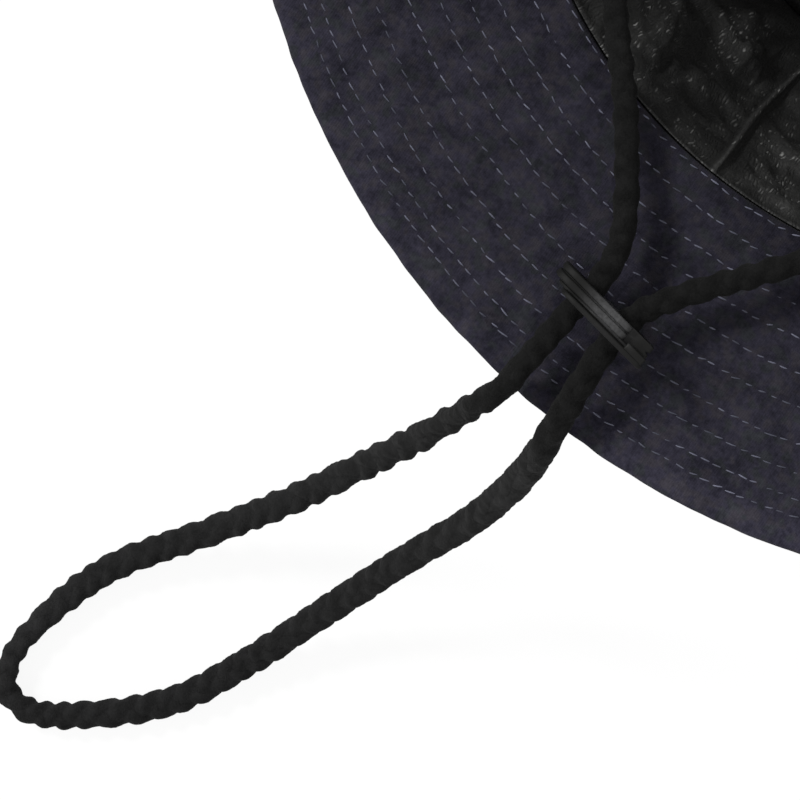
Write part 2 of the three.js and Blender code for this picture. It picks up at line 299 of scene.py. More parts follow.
plaited_yarn, tree, shader = blank_material("plaited_yarn", 0.9, 0.05)
shader.inputs["Sheen Weight"].default_value = 0.02
shader.inputs["Sheen Roughness"].default_value = 0.5
object_place = add_node(tree, "ShaderNodeTexCoord").outputs["Object"]
strand_place = {"X": mesh_value(tree, "across_strand"), "Y": mesh_value(tree, "along_strand")}
strand_place = add_node(tree, "ShaderNodeCombineXYZ", strand_place).outputs[0]
plies = noise(tree, stretched(tree, strand_place, (2.2, 900, 1)), 1.6, 3, 0.6)
fluff = noise(tree, object_place, 2600, 3, 0.65)
patches = noise(tree, object_place, 420, 2)
light = ranged(tree, calculated(tree, "ADD", patches, fluff), 0.75, 1.25)
# The yarn goes from a painted shade where the cord lies on the brim to a painted light in the loop on the
# floor; the yarn itself is one black
shaded_on_brim = colour_between(tree, light, (0.0052, 0.0052, 0.0051), (0.0098, 0.0098, 0.0097))
lit_in_loop = colour_between(tree, light, (0.0125, 0.0125, 0.0126), (0.0215, 0.0215, 0.0218))
yarn_colour = colour_between(tree, mesh_value(tree, "looseness"), shaded_on_brim, lit_in_loop)
tree.links.new(yarn_colour, shader.inputs["Base Color"])
raise_surface(tree, shader, calculated(tree, "ADD", plies, fluff), 0.7, 0.3 * mm)

cord_middle, cord_run = even_line(np.array(cord_route) * mm, cord_rings)
ahead = np.gradient(cord_middle, axis=0)
ahead /= np.linalg.norm(ahead, axis=1, keepdims=True)
beside = np.cross(ahead, [0, 0, 1])
beside /= np.linalg.norm(beside, axis=1, keepdims=True)
above = np.cross(beside, ahead)
cord_turn = full_turn(cord_sides)
# The plait is drawn out longer where the cord hangs: its run is measured as the camera sees it
seen_middle = cord_middle - (cord_middle @ back)[:, None] * back
drawn_run = np.concatenate([[0], np.cumsum(np.linalg.norm(np.diff(seen_middle, axis=0), axis=1))])
plait_distance, across_strand, along_strand, looseness = plait(
    cord_run[:, None], drawn_run[:, None], cord_turn
)
fluffed = plait_distance + np.random.default_rng(5).normal(0, fluff_height, plait_distance.shape)
outwards = beside[:, None] * np.cos(cord_turn)[..., None] + above[:, None] * np.sin(cord_turn)[..., None]
cord_places = cord_middle[:, None] + outwards * fluffed[..., None]
cord_places = np.vstack([cord_places.reshape(-1, 3), cord_middle[:1], cord_middle[-1:]])
strand_values = {"across_strand": across_strand, "along_strand": along_strand, "looseness": looseness}
chin_cord = add_piece(
    "chin_cord_plait", cord_places, tube_faces(cord_rings, cord_sides), plaited_yarn,
    point_values=[(label, np.append(values.ravel(), [0, 0])) for label, values in strand_values.items()],
)
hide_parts("chin_cord")


# Cord slider
# A black oblong moulded from hard plastic, with two holes that the cord's strands pass through. Two
# rounded ribs run along it beside a plate, with a slit before the plate. The ribs step back at one
# end, where a small block stands on the plate.
slider_length = 22.4 * mm
slider_height = 13 * mm
slider_corner = 3 * mm
slider_end_corner = 1.2 * mm
slider_hole = 6.6 * mm
slider_hole_spacing = 9.2 * mm
slider_step = 4.2 * mm
slider_rounding = 0.32 * mm
slider_lean = np.radians(14)
slider_turn = np.radians(-10.5)
slider_place = np.array([-11, -122.7, 97.2]) * mm
slider_layers = np.array([
    # thick, set back at the edges, set back at the near end, top of the far end stepped back
    (1.35, 0.5, 0, 5.3),
    (0.3, 0.9, 0.4, 5.1),
    (1.35, 0.4, 0, 5.3),
    (0.7, 1.7, 1.4, 0),
    (1.0, 0, 3, 0),
]) * mm
slider_depth = slider_layers[:, 0].sum()
end_block_length = 4.4 * mm
end_block_depth = 2.3 * mm
end_block_set_back = 0.3 * mm
end_block_rounding = 0.3 * mm
corner_steps = 8
flat_step = 0.3 * mm
flat_spread = 0.2 * mm


def slider_outline(set_back, start_back, step_back, depth):
    """Ring of places at a depth: an oblong with rounded corners whose far end has a step in its top.
    Each of the six corners is an arc of eight places, and the step's inner corner is hollow. Without
    a step the two corners of it lie flat on the end's straight side, their places a little apart."""
    left = -slider_length / 2 + start_back
    right = slider_length / 2 - set_back
    half = slider_height / 2 - set_back
    step = slider_step if step_back else half - 1.6 * slider_end_corner
    small = slider_end_corner / 2 if step_back else 0
    corners = [
        # x, y, radius, the arc's first and last direction
        (right, -half, slider_corner, -90, 0),
        (right, step, small, 0, 90),
        (right - step_back, step + (0 if step_back else flat_step), -small / 2, 270, 180),
        (right - step_back, half, slider_end_corner, 0, 90),
        (left, half, slider_corner, 90, 180),
        (left, -half, slider_corner, 180, 270),
    ]
    places = []
    for x, y, radius, first, final in corners:
        turn = np.radians(np.linspace(first, final, corner_steps))
        halfway = turn[corner_steps // 2]
        aside = radius * (np.sign(np.cos(halfway)) if radius > 0 else 1)
        along = radius * (np.sign(np.sin(halfway)) if radius > 0 else 1)
        flat = 0 if radius else np.linspace(0, flat_spread, corner_steps)
        arc_x = x - aside + abs(radius) * np.cos(turn)
        arc_y = y - along + abs(radius) * np.sin(turn) + flat
        places.append(np.stack([arc_x, arc_y, 0 * turn + depth], axis=1))
    return np.concatenate(places)


def slider_rings():
    """Outlines from the hat's side to the loop's. Each layer begins and ends with a quarter-round edge."""
    rings = []
    depth = -slider_depth / 2
    quarter = np.radians([90, 60, 30, 0])
    inset_shares = 1 - np.cos(quarter)
    level_shares = 1 - np.sin(quarter)
    for thick, set_back, start_back, step_back in slider_layers:
        rounding = min(slider_rounding, thick / 2.2)
        insets = rounding * np.concatenate([inset_shares, inset_shares[::-1]])
        rise, fall = rounding * level_shares, rounding * level_shares[::-1]
        levels = np.concatenate([depth + rise, depth + thick - fall])
        for inset, level in zip(insets, levels):
            rings.append(slider_outline(set_back + inset, start_back + inset, step_back, level))
        depth += thick
    return np.array(rings)


along_brim = np.array([np.cos(slider_turn), np.sin(slider_turn), 0])
to_middle = np.array([-along_brim[1], along_brim[0], 0])
slider_up = np.cos(slider_lean) * np.array([0, 0, 1]) + np.sin(slider_lean) * to_middle
hole_axis = np.cross(along_brim, slider_up)
slider_basis = np.stack([along_brim, slider_up, hole_axis])

moulded_plastic, tree, shader = blank_material("moulded_plastic", 0.5, 0.22)
object_place = add_node(tree, "ShaderNodeTexCoord").outputs["Object"]


def slider_distance(direction, centre):
    """Distance of the shaded place from a place on the slider, along one of its directions."""
    inputs = {0: object_place, 1: tuple(direction)}
    along = add_node(tree, "ShaderNodeVectorMath", inputs, operation="DOT_PRODUCT").outputs["Value"]
    return calculated(tree, "SUBTRACT", along, float(slider_place @ direction) + centre)


# The ribs are painted pale grey around the middle of their length: a painted highlight, with grain in it.
# They are also glossier there, and dark and rough towards their ends.
rib_highlight_middle = 0.8 * mm
rib_highlight_reach = 8 * mm
rib_edge = 0.9 * mm
from_rib_highlight = calculated(tree, "ABSOLUTE", slider_distance(along_brim, rib_highlight_middle))
rib_highlight = ranged(tree, from_rib_highlight, rib_highlight_reach, 0, interpolation_type="SMOOTHSTEP")
on_ribs = ranged(tree, slider_distance(hole_axis, rib_edge), 0.2 * mm, -0.2 * mm, 0.1)
rib_highlight = calculated(tree, "MULTIPLY", rib_highlight, on_ribs)
grain = noise(tree, object_place, 1500, 4, 0.6)
grained_rib_highlight = calculated(tree, "MULTIPLY", rib_highlight, grain)
# Painted highlight: pale grey where the ribs' highlight patch is, near black elsewhere
plastic_colour = colour_between(tree, grained_rib_highlight, (0.0048, 0.0048, 0.0044), (0.10, 0.10, 0.103))
tree.links.new(plastic_colour, shader.inputs["Base Color"])
tree.links.new(ranged(tree, rib_highlight, 0, 1, 0.7, 0.3), shader.inputs["Roughness"])
raise_surface(tree, shader, grain, 0.3, 0.1 * mm)

rings = slider_rings()
middles = np.array([[0, 0, rings[0, 0, 2]], [0, 0, rings[-1, 0, 2]]])
places = np.vstack([rings.reshape(-1, 3), middles])
cord_slider = add_piece(
    "slider_moulding", places @ slider_basis + slider_place, tube_faces(len(rings), rings.shape[1]),
    moulded_plastic,
)


def join_or_cut(tool, operation):
    """Boolean of the slider with a tool, which is then removed."""
    change = cord_slider.modifiers.new("change", "BOOLEAN")
    change.operation = operation
    change.object = tool
    change.solver = "EXACT"
    bpy.context.view_layer.objects.active = cord_slider
    bpy.ops.object.modifier_apply(modifier="change")
    bpy.data.objects.remove(tool)


# Round cutters that flare where they leave the slider, so that the holes' edges come out rounded
station = np.linspace(-0.62, 0.62, 25) * slider_depth
flare = slider_hole / 2 + 0.45 * mm * np.clip(np.abs(station) / slider_depth - 0.36, 0, 1) * 7
cutter_turn = full_turn(40)
for direction in (-1, 1):
    hole_middle = direction * slider_hole_spacing / 2
    x = hole_middle + flare[:, None] * np.cos(cutter_turn)
    y = flare[:, None] * np.sin(cutter_turn)
    places = np.stack([x, y, station[:, None] + 0 * x], axis=-1).reshape(-1, 3)
    places = np.vstack([places, [hole_middle, 0, station[0]], [hole_middle, 0, station[-1]]])
    cutter = add_piece(
        "hole_cutter", places @ slider_basis + slider_place, tube_faces(*x.shape),
        moulded_plastic,
    )
    join_or_cut(cutter, "DIFFERENCE")
block_high = np.array([slider_length, slider_height, slider_depth]) / 2 - end_block_set_back
block_low = np.array([block_high[0] - end_block_length, slider_step, slider_depth / 2 - end_block_depth])
corners = np.array([[i, j, k] for k in (0, 1) for j in (0, 1) for i in (0, 1)])
block_faces = np.array([[0, 2, 3, 1], [4, 5, 7, 6], [0, 1, 5, 4], [2, 6, 7, 3], [0, 4, 6, 2], [1, 3, 7, 5]])
block = add_piece(
    "end_block", (block_low + corners * (block_high - block_low)) @ slider_basis + slider_place,
    block_faces, moulded_plastic, smooth=False,
)
rounded = block.modifiers.new("rounded", "BEVEL")
rounded.width = end_block_rounding
rounded.segments = 3
bpy.context.view_layer.objects.active = block
bpy.ops.object.modifier_apply(modifier="rounded")
join_or_cut(block, "UNION")
cord_slider.data.set_sharp_from_angle(angle=np.radians(40))
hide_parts("cord_slider")


# Brim
# A round brim of two layers of navy plain-woven cotton over a soft stiffener, folded at its edge and
# quilted with ten rings of stitching, which pull the cloth down in grooves and pucker it between them.
opening_radius = 94 * mm
crown_height = 85 * mm
brim_width = 52 * mm
brim_thickness = 2.4 * mm
brim_rise = np.radians(7)
# Cycles round the hat, degrees of a peak, share
opening_waves = [(2, 30, 0.014)]
edge_waves = [(2, -61.5, 0.0225), (5, -28, 0.002)]
brim_lifts = [(2, -90, 0.035), (3, 45, 0.018), (5, 150, 0.012)]
stitch_rows = np.array([0.010, 0.115, 0.227, 0.325, 0.430, 0.535, 0.647, 0.741, 0.829, 0.888])
groove_half = 0.72 * mm
puff_height = 0.46 * mm
pucker_height = 0.12 * mm
edge_fold_start = 0.982
brim_columns = 840
# Radii where the cloth's crinkles have the size that is stated for them
brim_middle = 120 * mm
outer_strip_radius = 140 * mm
brim_edge_radius = 146 * mm


def waves(rows, angle):
    """Sum of cosine waves round the hat, from rows of cycles, degrees of a peak and share."""
    return sum(share * np.cos(cycles * (angle - np.radians(peak))) for cycles, peak, share in rows)


def degrees_from(place, angle):
    """Degrees from a place round the hat to an angle in radians, from -180 to 180."""
    return (np.degrees(angle) - place + 180) % 360 - 180


def seam_radius(angle):
    """Radius of the seam of brim and crown: a circle with a slow wave."""
    return opening_radius * (1 + waves(opening_waves, angle))


def brim_face(angle, share):
    """Radius and height of the brim's smooth face at a share of the way out from the seam."""
    reach = brim_width * np.cos(brim_rise) + opening_radius * waves(edge_waves, angle)
    lift = brim_width * waves(brim_lifts, angle) * share**2
    height = crown_height + brim_width * np.sin(brim_rise) * share + lift
    return seam_radius(angle) + reach * share, height


def wander(angle, share):
    """How far a hand-guided stitch row strays from its share: three slow waves, about 0.4 mm in all."""
    stray = np.sin(3 * angle + 9 * share) + 0.6 * np.sin(11 * angle - 23 * share + 1)
    stray = stray + 0.5 * np.sin(29 * angle + 51 * share + 2)
    return 0.0035 * stray


def around_hat(radius, angle, height):
    """Places at a radius, an angle round the hat and a height."""
    return np.stack([radius * np.cos(angle), radius * np.sin(angle), height], axis=-1)


def crinkle(angle, height, size, seed, radius, count=14):
    """Soft bumps of about one size in no direction: the sum of cosines that each run a whole number
    of times round the hat and climb at their own angle, from a seeded draw."""
    draw = np.random.default_rng(seed)
    heading = draw.uniform(0, 2 * np.pi, count)
    length = size * draw.uniform(0.7, 1.6, count)
    cycles = np.round(2 * np.pi * radius / length * np.cos(heading))
    climb = 2 * np.pi / length * np.sin(heading)
    phase = draw.uniform(0, 2 * np.pi, count)
    total = np.zeros(np.broadcast(angle, height).shape)
    for k in range(count):
        total += np.cos(cycles[k] * angle + climb[k] * height + phase[k])
    return total / np.sqrt(count)


def quilting(angle, share):
    """Half the brim's thickness and the rise of its middle. Between two stitch rows the filling
    stands up as a half sine, with cross puckers that have their own draw in each channel."""
    place = share - wander(angle, share)
    # The first and the last channel go on past the seam and the folded edge
    lines = np.concatenate([[-0.09], stitch_rows, [1.03]])
    channel = np.clip(np.searchsorted(lines, place) - 1, 0, len(lines) - 2)
    low, high = lines[channel], lines[channel + 1]
    puff = np.sin(np.pi * np.clip((place - low) / (high - low), 0, 1)) ** 0.7
    pucker = np.zeros(puff.shape)
    for k in range(len(lines) - 1):
        pucker = np.where(channel == k, crinkle(angle, 0 * angle, 6.5 * mm, 40 + k, brim_middle, 9), pucker)
    broad = crinkle(angle, share * brim_width, 9 * mm, 7, brim_middle)
    fullness = np.clip((high - low) * brim_width / (6 * mm), 0.5, 1.1)
    half = groove_half + (puff_height + pucker_height * pucker) * puff * fullness
    middle = (0.17 * pucker * puff + 0.2 * broad * (1 - 0.7 * share)) * mm
    return half, middle


def pattern_group(name, rate, values):
    """Empty shader node group that reads a place and a rate per metre, and puts out some values."""
    group = bpy.data.node_groups.new(name, "ShaderNodeTree")
    group.interface.new_socket("Place", in_out="INPUT", socket_type="NodeSocketVector")
    group.interface.new_socket(rate, in_out="INPUT", socket_type="NodeSocketFloat")
    for value in values:
        group.interface.new_socket(value, in_out="OUTPUT", socket_type="NodeSocketFloat")
    return group


def times(tree, vector, scale):
    """Vector or colour multiplied by a number."""
    inputs = {0: vector, "Scale": scale}
    return add_node(tree, "ShaderNodeVectorMath", inputs, operation="SCALE").outputs[0]


woven_threads = pattern_group("woven_threads", "Threads per metre", ("Height", "Tone"))


def build_woven_threads(tree):
    """Plain weave. Warp and weft are rounded threads, and a product of two cosines says which of them
    lies on top at a crossing. Tone is each thread's own shade, drawn out along it."""
    inside = add_node(tree, "NodeGroupInput").outputs
    scaled = times(tree, inside["Place"], inside["Threads per metre"])
    parts = add_node(tree, "ShaderNodeSeparateXYZ", {0: scaled}).outputs

    def cosine(value):
        return calculated(tree, "COSINE", calculated(tree, "MULTIPLY", value, np.pi))

    def thread(value, on_top):
        return calculated(tree, "MULTIPLY", calculated(tree, "ABSOLUTE", cosine(value)), on_top)

    sign = calculated(tree, "MULTIPLY", cosine(parts["X"]), cosine(parts["Y"]))
    warp = thread(parts["X"], ranged(tree, sign, -1, 1, 0.2, 1))
    weft = thread(parts["Y"], ranged(tree, sign, -1, 1, 1, 0.2))
    warp_tone = noise(tree, stretched(tree, scaled, (0.9, 0.06, 1)), 1, 2)
    weft_tone = noise(tree, stretched(tree, scaled, (0.06, 0.9, 1)), 1, 2)
    tone = ranged(tree, calculated(tree, "ADD", warp_tone, weft_tone), 0.7, 1.3)
    height = calculated(tree, "MAXIMUM", warp, weft)
    add_node(tree, "NodeGroupOutput", {"Height": height, "Tone": tone})


build_woven_threads(woven_threads)


def pattern_places(tree, place_kind):
    """Place on the object, and the place that the cloth's pattern follows: the same, or its own map."""
    object_place = add_node(tree, "ShaderNodeTexCoord").outputs["Object"]
    if place_kind == "Object":
        return object_place, object_place
    return object_place, add_node(tree, "ShaderNodeUVMap", uv_map="cloth").outputs[0]


def cotton_material(name, place_kind):
    """Navy cotton: a faint plain weave, broad faded patches and small ones of purple, brown and green cast,
    lighter or darker by the piece's lightness attribute, which on the brim holds painted light towards its
    edge and paler speckles of the cloth's own."""
    material, tree, shader = blank_material(name, 0.92, 0.05)
    shader.inputs["Sheen Weight"].default_value = 0.03
    shader.inputs["Sheen Roughness"].default_value = 0.6
    object_place, place = pattern_places(tree, place_kind)
    weave = add_node(tree, "ShaderNodeGroup", node_tree=woven_threads)
    weave.inputs["Threads per metre"].default_value = 2200
    tree.links.new(place, weave.inputs["Place"])
    shade = calculated(
        tree, "ADD", noise(tree, object_place, 170, 3, 0.6), noise(tree, object_place, 420, 2, 0.6)
    )
    shade = calculated(tree, "MULTIPLY_ADD", weave.outputs["Tone"], 0.12, shade)
    shade = calculated(tree, "MULTIPLY_ADD", noise(tree, object_place, 1300, 2, 0.7), 0.9, shade)
    shade = ranged(tree, shade, 1.18, 1.84)
    purple = colour_between(tree, shade, (0.0108, 0.0102, 0.0162), (0.0290, 0.0270, 0.0410))
    brown = colour_between(tree, shade, (0.0118, 0.0106, 0.0146), (0.0300, 0.0276, 0.0352))
    green = colour_between(tree, shade, (0.0106, 0.0112, 0.0142), (0.0268, 0.0280, 0.0336))
    in_brown = ranged(tree, noise(tree, object_place, 420, 1), 0.5, 0.62)
    in_green = ranged(tree, noise(tree, object_place, 380, 1), 0.54, 0.64)
    mixed = colour_between(tree, in_brown, purple, brown)
    mixed = colour_between(tree, in_green, mixed, green)
    # Lighter or darker by the lightness attribute: on the brim, painted light towards its edge
    mixed = times(tree, mixed, calculated(tree, "ADD", mesh_value(tree, "paleness"), 1))
    tree.links.new(mixed, shader.inputs["Base Color"])
    nap = noise(tree, object_place, 1500, 3, 0.6)
    height = calculated(tree, "MULTIPLY_ADD", nap, 2.2, weave.outputs["Height"])
    raise_surface(tree, shader, height, 0.55, 0.12 * mm)
    return material


brim_cotton = cotton_material("brim_cotton", "Object")
brim_angle = full_turn(brim_columns)
beside_row = np.array([-1.0, -0.5, 0, 0.5, 1.0]) * mm / brim_width
# Rows of the brim's face: five at each stitch row, three in each channel, and closer ones at both edges
face_shares = np.concatenate([
    (stitch_rows[1:, None] + beside_row).ravel(),
    [0.004, 0.014, 0.028, 0.045, 0.065, 0.088],
    (0.5 * (stitch_rows[1:-1] + stitch_rows[2:])[:, None] + np.array([-0.018, 0, 0.018])).ravel(),
    [0.915, 0.93, 0.945, 0.96, 0.972, edge_fold_start],
])
face_shares = np.unique(np.round(face_shares, 4))[:, None]
back_shares = np.linspace(edge_fold_start, 0.0, 26)[:, None]
half, middle = quilting(brim_angle, face_shares)
radius, height = brim_face(brim_angle, face_shares)
upper = np.stack([radius, height - brim_thickness / 2 + middle + half], axis=-1)
half, middle = quilting(brim_angle, back_shares)
radius, height = brim_face(brim_angle, back_shares)
lower = np.stack([radius, height - brim_thickness / 2 + middle - half], axis=-1)
edge_turn = np.radians([55, 25, 0, -25, -55])[:, None]
edge_radius, edge_height = brim_face(brim_angle, edge_fold_start)
half, middle = quilting(brim_angle, edge_fold_start + 0 * brim_angle)
ripple = 0.06 * mm * crinkle(brim_angle, 0 * brim_angle, 5 * mm, 91, brim_edge_radius, 10)
edge_depth = brim_width * np.cos(brim_rise) * (1 - edge_fold_start) + ripple
fold_edge = np.stack([
    edge_radius + edge_depth * np.cos(edge_turn),
    edge_height - brim_thickness / 2 + middle + half * np.sin(edge_turn),
], axis=-1)
profile = np.concatenate([upper, fold_edge, lower])
brim_places = around_hat(profile[..., 0], brim_angle, profile[..., 1]).reshape(-1, 3)
brim_faces = grid_faces(len(profile), brim_columns, close_rows=True)[0]
outwards = np.concatenate([face_shares, np.full((len(edge_turn), 1), 1.0), back_shares])
# The cloth is painted lighter towards the brim's edge, a painted light for the glare of the white
# surroundings: a little across the whole brim, more on the strip outside the last stitch row and most of all
# beside the slider. Speckles of paler tone in that strip are the cloth's own, and the cloth is darker
# towards the seam.
outer_strip = ramp(outwards - 0.9, 0.008)
speckle = crinkle(brim_angle, outwards * brim_width, 7 * mm, 92, outer_strip_radius)
lighter_beside_slider = bell(degrees_from(-70, brim_angle), 18)
paleness = -0.16 + 0.2 * outwards + outer_strip * (0.12 + 0.1 * speckle + 0.3 * lighter_beside_slider)
paleness = paleness - 0.14 * bell(outwards, 0.1)
brim = add_piece(
    "brim_cloth", brim_places, brim_faces, brim_cotton, point_values=[("paleness", paleness)]
)
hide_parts("brim")


# Quilting stitches
# Ten rings of lockstitch in pale blue-grey polyester thread, needle thread on the face and bobbin
# thread on the back. Each stitch is a short bow of thread that dips into the cloth at both ends.
stitch_period = 2.5 * mm
stitch_length = 2.1 * mm
stitch_thread = 0.32 * mm
stitch_sides = 5
stitch_stations = np.array([
    # share of the length from the middle, share of the thread's thickness
    (-0.5, 0.0), (-0.38, 0.66), (-0.14, 1.0), (0.14, 1.0), (0.38, 0.66), (0.5, 0.0),
])
stitch_rings = len(stitch_stations) - 2
stitch_places = stitch_rings * stitch_sides + 2


def stitches(side):
    """Places and tones of all stitches of one side. A stitch is a tapered tube of five sides along a
    low arch, set on the groove of its row, a little turned and a little uneven in length and height."""
    draw = np.random.default_rng(11 if side > 0 else 12)
    angle, share = [], []
    for row in stitch_rows:
        around = 2 * np.pi * brim_face(0, row)[0]
        count = int(round(around / stitch_period))
        angle.append((np.arange(count) + draw.normal(0, 0.06, count) + draw.uniform()) / count * 2 * np.pi)
        share.append(np.full(count, max(row, 0.012)))
    angle, share = np.concatenate(angle), np.concatenate(share)
    count = len(angle)
    share = share + wander(angle, share) + draw.normal(0, 0.0012, count)
    half, middle = quilting(angle, share)
    radius, height = brim_face(angle, share)
    centre = around_hat(radius, angle, height - brim_thickness / 2 + middle + side * half)
    yaw = angle + np.pi / 2 + np.radians(draw.normal(7, 6, count))
    tilt = np.radians(draw.normal(0, 2.5, count))
    forward = np.stack([np.cos(yaw) * np.cos(tilt), np.sin(yaw) * np.cos(tilt), np.sin(tilt)], axis=-1)
    upward = np.broadcast_to([0.0, 0.0, float(side)], forward.shape)
    sideways = np.cross(upward, forward)
    sideways /= np.linalg.norm(sideways, axis=1, keepdims=True)
    upward = np.cross(forward, sideways)
    length = stitch_length * (1 + draw.normal(0, 0.13, count))
    rise = draw.normal(0.0, 0.03 * mm, count) - 0.01 * mm
    run, thick = stitch_stations.T
    thick = thick[1:-1] * stitch_thread / 2
    arch = 0.16 * mm * (1 - (2 * run) ** 2) - 0.08 * mm
    line = centre[:, None] + forward[:, None] * (run * length[:, None])[..., None]
    line = line + upward[:, None] * (arch + rise[:, None])[..., None]
    turn = full_turn(stitch_sides).T
    ring = sideways[:, None, None] * np.cos(turn) + upward[:, None, None] * np.sin(turn) * 0.8
    tube = line[:, 1:-1, None] + ring * thick[:, None, None]
    places = np.concatenate([tube.reshape(count, -1, 3), line[:, [0, -1]]], axis=1)
    tone = np.clip(draw.normal(0.4, 0.3, count), 0, 1)
    return places.reshape(-1, 3), np.repeat(tone, stitch_places)


def stitch_faces(count):
    """Faces of every stitch: bands of quads between its rings, and a fan of triangles at each tip."""
    band, first_fan, last_fan = tube_faces(stitch_rings, stitch_sides)
    shift = (np.arange(count) * stitch_places)[:, None, None]
    return [(band + shift).reshape(-1, 4), (np.vstack([first_fan, last_fan]) + shift).reshape(-1, 3)]


stitch_polyester, tree, shader = blank_material("stitch_polyester", 0.55, 0.3)
ply = noise(tree, add_node(tree, "ShaderNodeTexCoord").outputs["Object"], 4000, 2)
thread_tone = calculated(tree, "MULTIPLY", mesh_value(tree, "tone"), ply)
thread_colour = colour_between(tree, thread_tone, (0.042, 0.044, 0.062), (0.21, 0.214, 0.285))
tree.links.new(thread_colour, shader.inputs["Base Color"])
raise_surface(tree, shader, ply, 0.5, 0.1 * mm)
for label, side in (("brim_stitches_face", 1), ("brim_stitches_back", -1)):
    places, tone = stitches(side)
    faces = stitch_faces(len(places) // stitch_places)
    add_piece(label, places, faces, stitch_polyester, point_values=[("tone", tone)])


# Crown wall
# The hat's side band of the same navy cotton, standing between the flat top and the brim. It is cut
# in one length and closed with one plain seam at the back, pressed to one side and stitched down.
cotton_thickness = 1.5 * mm
gap = 0.3 * mm
seam_allowance = 1.8 * mm
tip_half_width = 80 * mm
tip_half_length = 82 * mm
wall_foot = cotton_thickness + gap
wall_rim = crown_height - brim_thickness - gap
wall_columns = 720
# Radius half-way up the wall, for lengths that run round it
wall_middle = 88 * mm
crown_dents = [
    # degrees round, height, depth, spread in degrees, reach up
    (20, 0.55, 0.045, 15, 0.3),
    (74, 0.4, 0.03, 20, 0.25),
    (132, 0.6, 0.05, 14, 0.3),
    (196, 0.45, 0.035, 18, 0.35),
    (305, 0.6, 0.03, 13, 0.25),
]


def tip_radius(angle):
    """Radius of the crown's oval top panel."""
    across_part = tip_half_length * np.cos(angle)
    along_part = tip_half_width * np.sin(angle)
    return tip_half_width * tip_half_length / np.hypot(across_part, along_part)


def crown_radius(angle, height):
    """Outside of the crown's wall: a cone from the top's oval to the seam, with a few soft dents."""
    share = np.clip((height - wall_foot) / (wall_rim - wall_foot), 0, 1)
    dent = 0
    for at, level, depth, spread, reach in crown_dents:
        round_part, height_part = bell(degrees_from(at, angle), spread), bell(share - level, reach)
        dent = dent + depth * crown_height * round_part * height_part
    foot, rim = tip_radius(angle), seam_radius(angle) + seam_allowance
    return foot + (rim - foot) * share - dent * np.sin(np.pi * share)


def run_from(place, angle):
    """Metres round the wall from a place in degrees to an angle."""
    return degrees_from(place, angle) * np.pi / 180 * wall_middle


def round_wall(name, angle, heights, outer, inner, material, point_values=()):
    """Standing wall from two faces over the same heights, closed at foot and rim. The cloth map runs
    round the wall and up it, in metres."""
    radius = np.concatenate([outer, inner[::-1]])
    levels = np.concatenate([heights, heights[::-1]])
    places = around_hat(radius, angle, levels + 0 * radius).reshape(-1, 3)
    faces, row, column = grid_faces(len(radius), outer.shape[1], close_rows=True)
    closed_angle = np.append(angle, angle[0, 0] + 2 * np.pi)
    cloth = np.stack([closed_angle[column] * wall_middle, levels[row % len(radius), 0]], axis=-1)
    return add_piece(
        name, places, faces, material, corner_maps=[("cloth", [cloth])], point_values=point_values
    )


wall_angle = full_turn(wall_columns)
wall_heights = np.linspace(wall_foot, wall_rim, 42)[:, None]
wall_share = (wall_heights - wall_foot) / (wall_rim - wall_foot)
held = np.sin(np.pi * wall_share) ** 0.5
wrinkle = 0.5 * mm * crinkle(wall_angle, wall_heights, 26 * mm, 21, wall_middle)
wrinkle = wrinkle + 0.18 * mm * crinkle(wall_angle, wall_heights, 8 * mm, 22, wall_middle)
pucker = 0.22 * mm * crinkle(wall_angle, 0 * wall_heights, 6 * mm, 23, wall_middle)
near_seams = bell(wall_share, 0.05) + bell(1 - wall_share, 0.05)
back_seam = run_from(90, wall_angle)
lapped = 0.55 * mm * ramp(back_seam, 0.35 * mm) * bell(back_seam - 4 * mm, 6 * mm)
back_groove = 0.35 * mm * bell(back_seam, 0.6 * mm)
smooth_wall = crown_radius(wall_angle, wall_heights)
outer = smooth_wall + wrinkle * held + pucker * near_seams + lapped - back_groove
crown_wall = round_wall(
    "crown_wall_cloth", wall_angle, wall_heights, outer, smooth_wall - cotton_thickness,
    cotton_material("wall_cotton", "UV"),
)
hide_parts("crown_wall")


# Crown top
# The flat oval panel of navy cotton that the hat now lies on. It is one layer of cloth with a round
# edge, and is stitched to the foot of the wall.
floor_clearance = 0.02 * mm
tip_columns = 360
tip_angle = full_turn(tip_columns)
tip_rings = np.array([0.12, 0.25, 0.4, 0.55, 0.7, 0.82, 0.9, 0.95, 0.98])[:, None]
edge = tip_radius(tip_angle) + 0.5 * mm
flat = np.stack([edge * tip_rings, 0 * edge * tip_rings + floor_clearance], axis=-1)
rounded = np.radians([-70, -35, 0, 35, 70])[:, None]
rim_edge = np.stack([
    edge - 0.75 * mm * (1 - np.cos(rounded)), cotton_thickness / 2 * (1 + np.sin(rounded)) + 0 * edge,
], axis=-1)
top = np.stack([edge * tip_rings[::-1], 0 * edge * tip_rings + cotton_thickness], axis=-1)


def add_panel(name, profile, middles, material):
    """Oval panel from rings of radius and height round the crown, closed at the heights of its two
    middles, below and above."""
    places = around_hat(profile[..., 0], tip_angle, profile[..., 1]).reshape(-1, 3)
    places = np.vstack([places, [[0, 0, level] for level in middles]])
    return add_piece(name, places, tube_faces(len(profile), tip_columns), material)


crown_top = add_panel(
    "crown_top_cloth", np.concatenate([flat, rim_edge, top]), (floor_clearance, cotton_thickness),
    brim_cotton,
)
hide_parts("crown_top")


